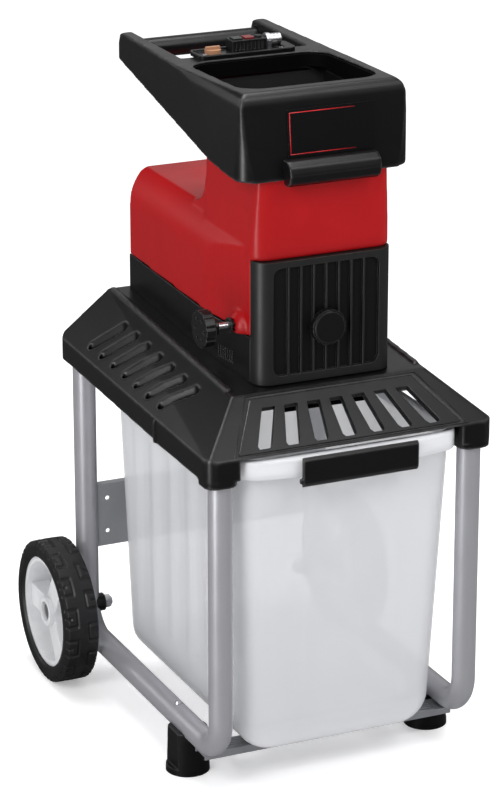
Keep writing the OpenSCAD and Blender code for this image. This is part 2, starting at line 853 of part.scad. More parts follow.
module adjusting_knob() {
  color([0.09, 0.09, 0.1]) difference() {
    union() {
      rod_x(25, -158, -144, knob_y, roller_z);
      rod_x(11, -144, -134, knob_y, roller_z);
    }
    for (i = [0 : 5]) translate([0, knob_y, roller_z]) rotate([60 * i, 0, 0])
      translate([-160, 15, 0]) rotate([0, 90, 0]) cylinder(r = 2.6, h = 12);
    for (i = [0 : 9]) translate([0, knob_y, roller_z]) rotate([36 * i + 18, 0, 0])
      translate([-160, 27.5, 0]) rotate([0, 90, 0]) cylinder(r = 4.2, h = 20);
    rod_x(5.02, -146, -130, knob_y, roller_z);
  }
}

module adjusting_screw() {
  color("gainsboro") rod_x(5, -145.9, -34.2, knob_y, roller_z);
}

module screw_bushing() {
  color([0.1, 0.1, 0.11]) difference() {
    union() {
      rod_x(7.95, -115, -56.2, knob_y, roller_z);
      rod_x(10.5, -117, -114.4, knob_y, roller_z);
    }
    rod_x(5.08, -125, -50, knob_y, roller_z);
  }
}

// ---------- gearbox ----------

module gear_case() {
  color("darkgray") difference() {
    block(-84, 76, -80.8, -28.1, 566, 722);
    block(-80, 72, -76.5, -20, 570, 718);
    rod_y(10, -90, -70, roller_x, roller_z);
    rod_y(6.06, -79, -70, second_x, second_z);
    rod_y(5.06, -79, -70, first_x, first_z);
  }
}

module gear_case_cover() {
  color("darkgray") difference() {
    block(-84, 76, -28, -21.5, 566, 722);
    rod_y(6.06, -30, -23.5, second_x, second_z);
    rod_y(5.06, -30, -23.5, first_x, first_z);
    rod_y(5.06, -32, -20, 0, motor_z);
  }
}

module output_gear() {
  color("silver") difference() {
    along_y(-74, -58) translate([roller_x, roller_z])
      gear_plan(35, 2.5, atan2(second_z - roller_z, second_x - roller_x));
    rod_y(7.52, -80, -50, roller_x, roller_z);
  }
}

module second_gear_shaft() {
  color("silver") {
    rod_y(6, -78.5, -24, second_x, second_z);
    along_y(-74, -58) translate([second_x, second_z])
      gear_plan(14, 2.5, atan2(roller_z - second_z, roller_x - second_x) + 180 / 14);
    along_y(-54, -44) translate([second_x, second_z])
      gear_plan(48, 1.5, atan2(first_z - second_z, first_x - second_x));
  }
}

module first_gear_shaft() {
  color("silver") {
    rod_y(5, -78.5, -24, first_x, first_z);
    along_y(-54, -44) translate([first_x, first_z])
      gear_plan(12, 1.5, atan2(second_z - first_z, second_x - first_x) + 180 / 12);
    along_y(-40, -33) translate([first_x, first_z])
      gear_plan(56, 1, atan2(motor_z - first_z, -first_x));
  }
}

// ---------- motor ----------

module motor_can() {
  color("gray") difference() {
    rod_y(motor_d / 2, -21.4, 96, 0, motor_z);
    rod_y(motor_d / 2 - 3, -22, 97, 0, motor_z);
    for (i = [0 : 7]) translate([0, -4, motor_z]) rotate([0, 45 * i + 22.5, 0])
      translate([60, -9, -7]) cube([30, 10, 14]);
  }
}

module motor_stator() {
  color("dimgray") difference() {
    rod_y(motor_d / 2 - 3.05, 12, 76, 0, motor_z);
    rod_y(42, 10, 80, 0, motor_z);
    for (i = [0 : 23]) translate([0, 44, motor_z]) rotate([0, 15 * i, 0])
      translate([41, -40, -2.5]) cube([18, 80, 5]);
  }
}

module motor_windings() {
  color([0.7, 0.35, 0.15]) for (y = [-4, 76.2]) difference() {
    rod_y(63, y, y + 15.8, 0, motor_z);
    rod_y(46, y - 1, y + 18, 0, motor_z);
  }
}

module motor_rotor() {
  color("silver") union() {
    rod_y(41.2, 13, 75, 0, motor_z);
    rod_y(5, -31.5, 132, 0, motor_z);
    rod_y(9, -16, 94, 0, motor_z);
    along_y(-41, -31) translate([0, motor_z])
      gear_plan(8, 1, atan2(first_z - motor_z, first_x) + 180 / 8);
  }
}

module motor_end_shield() {
  color("gray") difference() {
    rod_y(motor_d / 2, 96.1, 102, 0, motor_z);
    rod_y(5.06, 90, 110, 0, motor_z);
    for (i = [0 : 5]) translate([0, 99, motor_z]) rotate([0, 60 * i, 0])
      translate([26, -10, -11]) cube([34, 20, 22]);
  }
}

module motor_fan() {
  color([0.15, 0.15, 0.16]) difference() {
    union() {
      rod_y(14, 106, 128, 0, motor_z);
      rod_y(60, 106, 108.5, 0, motor_z);
      for (i = [0 : fan_blades - 1]) translate([0, 106, motor_z])
        rotate([0, 360 / fan_blades * i, 0]) translate([10, 0, -1.2]) cube([49, 20, 2.4]);
    }
    rod_y(5.02, 100, 140, 0, motor_z);
  }
}

module capacitor() {
  color([0.85, 0.85, 0.87]) union() {
    rod_y(17, 60, 130, -78, 597);
    for (x = [-83, -73]) rod_y(2, 130, 138, x, 597);
  }
}

front_tube_left();
front_tube_right();
rear_tube_left();
rear_tube_right();
front_crossbar();
box_rails();
rear_cross_plate();
front_foot_left();
front_foot_right();
frame_screws();
tyre_left();
tyre_right();
hub_left();
hub_right();
axle_bolt_left();
axle_bolt_right();
axle_nuts();
axle_spacers();
tray();
front_grille();
collection_box();
box_catch();
discharge_chute();
base_housing();
upper_housing();
front_cover();
cover_knob();
hopper();
feed_throat();
carry_handle();
front_grip();
label_plate();
control_panel();
panel_screws();
switch_block();
on_button();
off_button();
reset_button();
direction_knob();
power_inlet();
cutting_chamber();
blade_roller();
roller_bearings();
pressure_plate();
adjusting_knob();
adjusting_screw();
screw_bushing();
gear_case();
gear_case_cover();
output_gear();
first_gear_shaft();
second_gear_shaft();
motor_can();
motor_stator();
motor_windings();
motor_rotor();
motor_fan();
motor_end_shield();
capacitor();
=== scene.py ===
"""Looks for the garden roller shredder: finishes, detailed pieces, stage, lights and camera.

Metres, +Z up, the front faces -Y, and the floor is at z = 0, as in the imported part.
"""

import json
import math

import bmesh
import bpy
from mathutils import Matrix, Vector


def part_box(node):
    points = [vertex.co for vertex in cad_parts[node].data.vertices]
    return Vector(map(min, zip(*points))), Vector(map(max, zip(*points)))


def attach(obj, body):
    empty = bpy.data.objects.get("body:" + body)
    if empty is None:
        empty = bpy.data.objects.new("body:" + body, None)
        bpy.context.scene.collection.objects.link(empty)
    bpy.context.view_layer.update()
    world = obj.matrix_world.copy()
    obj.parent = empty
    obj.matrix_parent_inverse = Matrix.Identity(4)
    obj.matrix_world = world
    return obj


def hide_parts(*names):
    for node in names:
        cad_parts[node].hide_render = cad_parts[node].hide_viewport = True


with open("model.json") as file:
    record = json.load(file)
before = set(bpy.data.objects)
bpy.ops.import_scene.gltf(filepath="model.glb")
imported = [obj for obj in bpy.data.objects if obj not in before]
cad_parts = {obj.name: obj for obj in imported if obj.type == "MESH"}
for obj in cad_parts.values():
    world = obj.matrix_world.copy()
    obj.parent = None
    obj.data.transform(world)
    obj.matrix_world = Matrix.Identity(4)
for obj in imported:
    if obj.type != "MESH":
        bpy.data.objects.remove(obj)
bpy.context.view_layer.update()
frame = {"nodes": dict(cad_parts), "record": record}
nodes = frame["nodes"]
mm = 0.001

# below this a closure counts as a mirror to the noise filter, which then leaves patches
LEAST_ROUGH = 0.29


# ---------- colours and node helpers ----------


def srgb(r, g, b):
    """Linear colour from 0-255 display values."""

    def linear(c):
        c /= 255
        return c / 12.92 if c <= 0.04045 else ((c + 0.055) / 1.055) ** 2.4

    return (linear(r), linear(g), linear(b), 1.0)


def shade(colour, k):
    return tuple(min(1.0, c * k) for c in colour[:3]) + (1.0,)


class Finish:
    """One procedural material. Every pattern lives in the object's own coordinates, in metres."""

    def __init__(self, name):
        self.mat = bpy.data.materials.new(name)
        self.mat.use_nodes = True
        self.tree = self.mat.node_tree
        self.shader = self.tree.nodes["Principled BSDF"]
        self.place = self.add("ShaderNodeTexCoord").outputs["Object"]

    def add(self, kind, **props):
        n = self.tree.nodes.new(kind)
        for k, v in props.items():
            setattr(n, k, v)
        return n

    def link(self, out, socket):
        self.tree.links.new(out, socket)

    def set(self, **values):
        for k, v in values.items():
            self.shader.inputs[k.replace("_", " ")].default_value = v

    def stretched(self, x, y, z):
        """Coordinates scaled per axis, for brushed or drawn metal."""
        m = self.add("ShaderNodeMapping")
        m.inputs["Scale"].default_value = (x, y, z)
        self.link(self.place, m.inputs["Vector"])
        return m.outputs["Vector"]

    def noise(self, scale, detail=2.0, rough=0.5, place=None):
        n = self.add("ShaderNodeTexNoise")
        n.inputs["Scale"].default_value = scale
        n.inputs["Detail"].default_value = detail
        n.inputs["Roughness"].default_value = rough
        self.link(place or self.place, n.inputs["Vector"])
        return n.outputs["Fac"]

    def cells(self, scale):
        n = self.add("ShaderNodeTexVoronoi")
        n.inputs["Scale"].default_value = scale
        self.link(self.place, n.inputs["Vector"])
        return n.outputs["Distance"]

    def bands(self, scale, axis, distortion=0.0):
        n = self.add("ShaderNodeTexWave", bands_direction=axis)
        n.inputs["Scale"].default_value = scale
        n.inputs["Distortion"].default_value = distortion
        self.link(self.place, n.inputs["Vector"])
        return n.outputs["Fac"]

    def span(self, value, low, high, to_low=0.0, to_high=1.0):
        n = self.add("ShaderNodeMapRange")
        for k, v in zip(("From Min", "From Max", "To Min", "To Max"), (low, high, to_low, to_high)):
            n.inputs[k].default_value = v
        self.link(value, n.inputs["Value"])
        return n.outputs["Result"]

    def times(self, a, b):
        n = self.add("ShaderNodeMath", operation="MULTIPLY")
        self.link(a, n.inputs[0])
        if isinstance(b, float):
            n.inputs[1].default_value = b
        else:
            self.link(b, n.inputs[1])
        return n.outputs[0]

    def plus(self, a, b):
        n = self.add("ShaderNodeMath", operation="ADD", use_clamp=True)
        self.link(a, n.inputs[0])
        self.link(b, n.inputs[1])
        return n.outputs[0]

    def along(self, axis):
        n = self.add("ShaderNodeSeparateXYZ")
        self.link(self.place, n.inputs[0])
        return n.outputs[axis]

    def mix(self, share, a, b):
        """Colour a where share is 0 and b where it is 1; a and b are colours or outputs."""
        n = self.add("ShaderNodeMix", data_type="RGBA")
        self.link(share, n.inputs[0])
        for socket, v in ((n.inputs[6], a), (n.inputs[7], b)):
            if isinstance(v, tuple):
                socket.default_value = v
            else:
                self.link(v, socket)
        return n.outputs[2]

    def rounded(self, radius):
        n = self.add("ShaderNodeBevel", samples=4)
        n.inputs["Radius"].default_value = radius
        return n.outputs["Normal"]

    def edges(self, rounded):
        """1 on outside and inside edges, 0 on flats: how far the rounded normal leans away."""
        dot = self.add("ShaderNodeVectorMath", operation="DOT_PRODUCT")
        self.link(rounded, dot.inputs[0])
        self.link(self.add("ShaderNodeNewGeometry").outputs["Normal"], dot.inputs[1])
        return self.span(dot.outputs["Value"], 0.995, 0.85)

    def bump(self, height, strength, depth, normal=None):
        n = self.add("ShaderNodeBump")
        n.inputs["Strength"].default_value = strength
        n.inputs["Distance"].default_value = depth
        self.link(height, n.inputs["Height"])
        if normal is not None:
            self.link(normal, n.inputs["Normal"])
        return n.outputs["Normal"]

    def finish(self, colour=None, rough=None, normal=None):
        for socket, v in (("Base Color", colour), ("Roughness", rough), ("Normal", normal)):
            if v is not None:
                self.link(v, self.shader.inputs[socket])
        return self.mat


# ---------- finishes ----------


def moulded(name, colour, rough=0.4, grain=0.25, radius=1.6 * mm, wear_and_highlight=0.35, drift=0.12, gloss=0.4,
            dense=False, darkened=None):
    """Injection-moulded plastic: fine spark grain, slow drift in tone, edges painted paler, partly rub wear
    and partly a painted highlight.

    A dense mesh has its edges found from its own curvature, and any other from a rounded normal.
    darkened takes the finish and gives a mask of places painted darker, such as painted shade in the
    cover's sunk field.
    """
    m = Finish(name)
    soft = m.rounded(radius)
    if dense:
        edge = m.span(m.add("ShaderNodeNewGeometry").outputs["Pointiness"], 0.505, 0.54)
    else:
        edge = m.edges(soft)
    edge = m.times(edge, m.span(m.noise(60, 5, 0.7), 0.35, 0.65, 0.4, 1.0))
    body = m.mix(m.span(m.noise(7, 5, 0.6), 0.3, 0.7), shade(colour, 1 - drift), shade(colour, 1 + drift))
    dusty = m.mix(m.span(m.noise(28, 6, 0.75), 0.52, 0.8, 0, 0.2), body, shade(colour, 1.5))
    # the pale edge colour is partly rub wear and partly a painted highlight
    pale = tuple(0.6 * c + 0.11 for c in colour[:3]) + (1.0,)
    worn_and_highlit = m.mix(m.times(edge, wear_and_highlight), dusty, pale)
    # colour taken down to 0.3 where the mask is set; on the cover this is painted shade
    if darkened:
        worn_and_highlit = m.mix(darkened(m), worn_and_highlit, shade(colour, 0.3))
    patchy = m.span(m.noise(16, 6, 0.7), 0.25, 0.75, max(rough - 0.05, LEAST_ROUGH), rough + 0.07)
    m.set(IOR=1.46, Specular_IOR_Level=gloss)
    return m.finish(worn_and_highlit, patchy, m.bump(m.noise(1500, 2, 0.6), grain, 0.05 * mm, soft))


def coated_tube(name, colour):
    """Powder coat over drawn steel: orange peel, faint metallic fleck, small scuffed marks."""
    m = Finish(name)
    soft = m.rounded(0.8 * mm)
    fleck = m.span(m.cells(2600), 0.1, 0.75)
    body = m.mix(fleck, shade(colour, 1.07), shade(colour, 0.93))
    worn = m.mix(m.times(m.edges(soft), 0.4), body, shade(colour, 1.3))
    marks = m.span(m.noise(1.0, 7, 0.75, m.stretched(60, 60, 9)), 0.62, 0.74, 0, 0.28)
    m.set(Metallic=0.55, Specular_IOR_Level=0.45)
    rough = m.span(m.noise(22, 5, 0.65), 0.3, 0.7, 0.34, 0.44)
    peel = m.bump(m.noise(420, 3, 0.5), 0.12, 0.1 * mm, soft)
    return m.finish(m.mix(marks, worn, shade(colour, 0.72)), rough, peel)


def steel(name, colour, rough=0.28, along=(1, 1, 1), metallic=1.0):
    """Machined or plated steel with fine drawn lines and a faint stain."""
    m = Finish(name)
    soft = m.rounded(0.35 * mm)
    lines = m.noise(1.0, 4, 0.6, m.stretched(*(900 if a else 40 for a in along)))
    stain = m.span(m.noise(45, 6, 0.7), 0.45, 0.75, 0, 0.5)
    m.set(Metallic=metallic)
    body = m.mix(stain, colour, shade(colour, 0.74))
    drawn = m.span(lines, 0.3, 0.7, max(rough - 0.07, LEAST_ROUGH), rough + 0.1)
    return m.finish(body, drawn, m.bump(lines, 0.18, 0.05 * mm, soft))


def cast(name, colour):
    """Sand-cast alloy: pebbled skin and darker pores."""
    m = Finish(name)
    soft = m.rounded(1.5 * mm)
    pores = m.span(m.cells(620), 0.0, 0.35)
    m.set(Metallic=0.85)
    return m.finish(
        m.mix(pores, shade(colour, 0.6), colour),
        m.span(m.noise(90, 4, 0.6), 0.3, 0.7, 0.42, 0.62),
        m.bump(m.noise(520, 5, 0.7), 0.5, 0.2 * mm, soft),
    )


def rubber(name, colour, dust):
    """Matt rubber with pale dust settled in its grain."""
    m = Finish(name)
    soft = m.rounded(0.8 * mm)
    powder = m.span(m.noise(34, 7, 0.75), 0.45, 0.8, 0, 0.35)
    m.set(IOR=1.5, Specular_IOR_Level=0.5)
    return m.finish(
        m.mix(powder, colour, dust),
        m.span(m.noise(60, 4, 0.6), 0.3, 0.7, 0.42, 0.6),
        m.bump(m.noise(900, 4, 0.6), 0.3, 0.12 * mm, soft),
    )


def frosted(name, colour, clear, rim_z):
    """Translucent polypropylene: flow streaks, thicker at the rim and foot, the rim also painted a little
    paler as a painted highlight, faint ripples.
    """
    m = Finish(name)
    flow = m.noise(1.0, 1, 0.4, m.stretched(9, 9, 1.2))
    rim = m.span(m.along("Z"), rim_z - 4 * mm, rim_z + 2 * mm, 0, 0.3)
    foot = m.span(m.along("Z"), 62 * mm, 92 * mm, 0.16, 0)
    thickness = m.plus(m.span(flow, 0.25, 0.75, clear, clear + 0.1), m.plus(rim, foot))
    m.link(thickness, m.shader.inputs["Alpha"])
    m.set(IOR=1.49, Subsurface_Weight=0.0, Coat_Weight=0.25, Coat_Roughness=0.3)
    return m.finish(
        # the rim band is painted a little paler as a painted highlight, on top of being more opaque
        m.mix(rim, m.mix(m.span(flow, 0.3, 0.7), colour, shade(colour, 0.97)), shade(colour, 1.04)),
        m.span(m.noise(25, 4, 0.6), 0.3, 0.7, 0.3, 0.4),
        m.bump(m.noise(1.0, 1, 0.5, m.stretched(24, 24, 3)), 0.02, 0.05 * mm),
    )


def cover_field_shade_mask(m):
    """Mask of the sunk field between the ribs of the front cover, where shade is painted in."""
    across = m.span(m.times(m.along("X"), m.along("X")), (76 * mm) ** 2, (76.4 * mm) ** 2, 1, 0)
    above = m.span(m.along("Z"), 560 * mm, 560.4 * mm)
    upright = m.times(above, m.span(m.along("Z"), 705.6 * mm, 706 * mm, 1, 0))
    deep = m.span(m.along("Y"), -199.6 * mm, -198.8 * mm)
    return m.times(m.times(across, upright), deep)


def wound(name, colour):
    """Enamelled copper wire laid in tight turns."""
    m = Finish(name)
    turns = m.bands(330, "DIAGONAL", 1.5)
    m.set(Metallic=0.75)
    return m.finish(
        m.mix(turns, shade(colour, 0.45), colour),
        m.span(m.noise(80, 3), 0.3, 0.7, 0.25, 0.4),
        m.bump(turns, 0.8, 0.4 * mm),
    )


def laminated(name, colour):
    """Stacked sheet steel seen on its edges."""
    m = Finish(name)
    sheets = m.bands(640, "Y", 0.4)
    m.set(Metallic=0.9)
    return m.finish(
        m.mix(sheets, shade(colour, 0.6), colour),
        m.span(m.noise(70, 4), 0.3, 0.7, 0.35, 0.5),
        m.bump(sheets, 0.5, 0.15 * mm, m.rounded(0.4 * mm)),
    )


BLACK = srgb(11, 11, 13)
SATIN = srgb(12, 12, 14)
RED = srgb(156, 10, 15)
HOUSING = dict(rough=0.3, grain=0.12, drift=0.04, gloss=0.2)

FINISHES = {
    "frame_grey": coated_tube("frame_grey_paint", srgb(180, 180, 185)),
    "zinc_plate": coated_tube("plate_grey_paint", srgb(160, 161, 165)),
    "black_plastic": moulded("black_grained_plastic", BLACK, rough=0.34, radius=2.6 * mm, wear_and_highlight=0.5),
    "grille_black": moulded("black_satin_plastic", SATIN, rough=0.3, grain=0.15, radius=1.8 * mm, wear_and_highlight=0.5),
    "bright_steel": steel("bright_plated_steel", srgb(205, 205, 208), along=(1, 1, 0)),
    "tyre_black": rubber("tyre_rubber", srgb(16, 16, 18), srgb(50, 49, 48)),
    "hub_grey": moulded("grey_hub_plastic", srgb(210, 211, 213), rough=0.36, radius=2.2 * mm, wear_and_highlight=0.1),
    "clear_box": frosted("frosted_box_plastic", srgb(224, 225, 228), 0.48, 455 * mm),
    "chute_black": moulded("black_chute_plastic", srgb(7, 7, 8), rough=0.6, wear_and_highlight=0.1, gloss=0.06),
    "housing_red": moulded("red_housing_plastic", RED, wear_and_highlight=0.1, **HOUSING),
    # its sunk field is painted darker, as painted shade
    "cover_grey": moulded("dark_grey_cover_plastic", srgb(28, 29, 28), rough=0.42, grain=0.3, wear_and_highlight=0.3,
                          darkened=cover_field_shade_mask),
    "handle_black": moulded("black_handle_plastic", srgb(13, 13, 15), rough=0.32),
    "label_black": moulded("black_label_film", srgb(10, 10, 12), rough=0.22, grain=0.05, radius=0.2 * mm),
    "button_dark": moulded("dark_button_plastic", srgb(30, 34, 31), rough=0.3, radius=0.8 * mm),
    "button_red": moulded("red_button_plastic", srgb(112, 22, 24), rough=0.3, radius=0.8 * mm),
    "button_black": moulded("black_button_rubber", srgb(32, 32, 34), rough=0.5, radius=0.8 * mm),
    "selector_cream": moulded("cream_selector_plastic", srgb(166, 122, 92), rough=0.4, radius=0.8 * mm),
    "inlet_metal": steel("inlet_collar_metal", srgb(196, 197, 200), along=(0, 1, 1)),
    "cast_alloy": cast("cast_alloy_skin", srgb(170, 172, 176)),
    "tool_steel": steel("ground_tool_steel", srgb(140, 142, 146), rough=0.36, along=(1, 0, 1)),
    "gear_steel": steel("machined_gear_steel", srgb(172, 172, 176), rough=0.32, along=(1, 0, 1)),
    "motor_steel": laminated("laminated_motor_steel", srgb(142, 145, 152)),
    "copper_wire": wound("enamelled_copper_wire", srgb(200, 120, 62)),
    "capacitor_white": moulded("white_capacitor_plastic", srgb(222, 222, 226), wear_and_highlight=0.05, drift=0.04),
}
# the same plastics for pieces with a dense, blended mesh
BLENDED = {
    "housing_red": moulded("red_blended_plastic", RED, wear_and_highlight=0.05, dense=True, **HOUSING),
    "black_plastic": moulded("black_blended_plastic", BLACK, rough=0.32, grain=0.22, wear_and_highlight=0.55, dense=True),
    "grille_black": moulded("black_blended_satin", SATIN, rough=0.28, grain=0.1, wear_and_highlight=0.5, dense=True),
}
# the border lines are painted darker towards +X, fading into the label's black
RED_LINE = moulded("red_border_ink", srgb(186, 26, 32), rough=0.3, grain=0.08, radius=0.1 * mm, wear_and_highlight=0.0,
                   darkened=lambda m: m.span(m.along("X"), 4 * mm, 42 * mm, 0, 0.95))

slot_of = {s["node"]: s["material_slot"] for s in frame["record"]["subparts"]}
for name, obj in nodes.items():
    for i in range(len(obj.material_slots)):
        obj.material_slots[i].material = FINISHES[slot_of[name]]


# ---------- mesh helpers ----------


def piece(name, mesh, material, body, slot, *replaced):
    """A finished mesh as a named piece that rides on a body and stands for CAD nodes."""
    obj = bpy.data.objects.new(name, mesh)
    bpy.context.scene.collection.objects.link(obj)
    mesh.materials.clear()
    mesh.materials.append(material)
    for face in mesh.polygons:
        face.use_smooth = True
    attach(obj, body)
    if replaced:
        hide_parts(*replaced)
    return obj


def from_bmesh(bm, name):
    mesh = bpy.data.meshes.new(name)
    bm.to_mesh(mesh)
    bm.free()
    return mesh


def grid_faces(bm, rows, close_rows=True, close_columns=False):
    """Quads between neighbouring rows of vertices, and round the ends of rows or columns if asked."""
    pairs = list(zip(rows, rows[1:])) + ([(rows[-1], rows[0])] if close_columns else [])
    for a, b in pairs:
        n = len(a)
        for i in range(n if close_rows else n - 1):
            j = (i + 1) % n
            bm.faces.new((a[i], a[j], b[j], b[i]))


def smoothstep(a, b, x):
    t = min(1.0, max(0.0, (x - a) / (b - a)))
    return t * t * (3 - 2 * t)


def softened(node, name, body, voxel, passes):
    """The node's own shape with its edges and joints blended, as moulded plastic has them.

    It is remeshed in voxels of the given size and relaxed in so many passes.
    """
    bm = bmesh.new()
    bm.from_mesh(nodes[node].data)
    weld = 0.02 * mm
    bmesh.ops.remove_doubles(bm, verts=bm.verts, dist=weld)
    raw = from_bmesh(bm, name + "_raw")
    helper = bpy.data.objects.new(name + "_raw", raw)
    bpy.context.scene.collection.objects.link(helper)
    remesh = helper.modifiers.new("remesh", "REMESH")
    remesh.mode = "VOXEL"
    remesh.voxel_size = voxel
    relax = helper.modifiers.new("relax", "SMOOTH")
    relax.factor = 0.5
    relax.iterations = passes
    done = helper.evaluated_get(bpy.context.evaluated_depsgraph_get())
    mesh = bpy.data.meshes.new_from_object(done)
    mesh.name = name
    bpy.data.objects.remove(helper)
    bpy.data.meshes.remove(raw)
    return piece(name, mesh, BLENDED[slot_of[node]], body, slot_of[node], node)


def bar(name, points, radius, material, body, slot, closed=False):
    """A thin raised line along points, round in section."""
    curve = bpy.data.curves.new(name, "CURVE")
    curve.dimensions = "3D"
    curve.bevel_depth = radius
    curve.bevel_resolution = 3
    curve.use_fill_caps = True
    spline = curve.splines.new("POLY")
    spline.points.add(len(points) - 1)
    for p, co in zip(spline.points, points):
        p.co = (*co, 1)
    spline.use_cyclic_u = closed
    obj = bpy.data.objects.new(name, curve)
    bpy.context.scene.collection.objects.link(obj)
    mesh = bpy.data.meshes.new_from_object(obj.evaluated_get(bpy.context.evaluated_depsgraph_get()))
    bpy.data.objects.remove(obj)
    return piece(name, mesh, material, body, slot)


# ---------- tyres ----------


def tyre(side):
    """Solid tyre with staggered C-shaped grooves around the tread."""
    low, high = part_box(f"tyre_{side}")
    centre = (low + high) / 2
    radius, half = (high.z - low.z) / 2, (high.x - low.x) / 2
    shoulder = 97 * mm
    blocks, steps, depth = 14, 560, 2.4 * mm

    def cut(angle, u):
        """Groove depth at an angle in turns and a place across the tread, u from -1 to 1."""
        p = (angle * blocks + (0.5 if u > 0 else 0.0)) % 1.0
        a = abs(u)
        lateral = max(1 - smoothstep(0.035, 0.065, abs(p - q)) for q in (0.18, 0.72))
        lateral *= smoothstep(0.26, 0.32, a)
        inside = smoothstep(0.15, 0.18, p) * (1 - smoothstep(0.72, 0.75, p))
        ring = (1 - smoothstep(0.045, 0.08, abs(a - 0.32))) * inside
        short = (1 - smoothstep(0.03, 0.06, abs(p - 0.45))) * smoothstep(0.62, 0.68, a)
        return depth * max(lateral, ring, short)

    bm = bmesh.new()
    # each point is a place across the tyre, -1 to 1, and a radius, or None on the tread itself
    profile = [(-0.94, 80 * mm), (-1.0, 86 * mm), (-1.0, 93 * mm), (-0.985, 96 * mm)]
    profile += [(-0.95 + 0.012 * k, radius - (5.2 - 0.62 * k) * mm) for k in range(8)]
    tread = [(-0.84 + 1.68 * k / 34, None) for k in range(35)]
    mirrored = [(-u, r) for u, r in reversed(profile)]
    rows = []
    for i in range(steps):
        angle = i / steps
        row = []
        for u, r in profile + tread + mirrored:
            if r is None:
                r = radius - 0.7 * mm * u * u - cut(angle, u)
            elif r > shoulder:
                r -= cut(angle, u) * 0.8
            row.append(bm.verts.new((
                centre.x + u * half,
                centre.y + r * math.cos(2 * math.pi * angle),
                centre.z + r * math.sin(2 * math.pi * angle),
            )))
        rows.append(row)
    grid_faces(bm, rows, close_rows=True, close_columns=True)
    bmesh.ops.recalc_face_normals(bm, faces=bm.faces)
    name = f"tread_tyre_{side}"
    piece(name, from_bmesh(bm, name), FINISHES["tyre_black"], f"{side}_wheel", "tyre_black", f"tyre_{side}")


# ---------- collection box ----------


def box_loop(half, front, rear, corner, flute=0.0, bow=0.0):
    """Plan outline of the box as points, anticlockwise from the front left, with side flutes."""
    points = []
    per_side, per_corner = 40, 8
    corners = [
        (half - corner, front + corner, -90),
        (half - corner, rear - corner, 0),
        (-half + corner, rear - corner, 90),
        (-half + corner, front + corner, 180),
    ]
    for k, (cx, cy, start) in enumerate(corners):
        for j in range(per_corner + 1):
            a = math.radians(start + 90 * j / per_corner)
            points.append([cx + corner * math.cos(a), cy + corner * math.sin(a)])
        nx, ny, nstart = corners[(k + 1) % 4]
        a = math.radians(nstart)
        end = [nx + corner * math.cos(a), ny + corner * math.sin(a)]
        begin = points[-1]
        for j in range(1, per_side):
            t = j / per_side
            points.append([begin[0] + (end[0] - begin[0]) * t, begin[1] + (end[1] - begin[1]) * t])
    for p in points:
        if bow and p[1] < front + corner + 1e-6:
            # shallow arc across the front, deepest in the middle
            p[1] -= bow * (1 - (p[0] / half) ** 2)
        if flute and p[1] < front + 1e-5:
            # the front panel stands a little proud to the right of its seam
            p[1] -= 0.9 * mm * smoothstep(-62 * mm, -58.5 * mm, p[0])
        if flute and abs(p[0]) > half - 1e-4:
            # flutes sink into the sides, away from the corners
            phase = (p[1] - front) / (62 * mm) % 1.0
            inward = smoothstep(0.0, 0.16, phase) * (1 - smoothstep(0.62, 0.78, phase))
            fade = smoothstep(front + 42 * mm, front + 52 * mm, p[1])
            fade *= 1 - smoothstep(rear - 52 * mm, rear - 42 * mm, p[1])
            p[0] -= math.copysign(flute * inward * fade, p[0])
    return points


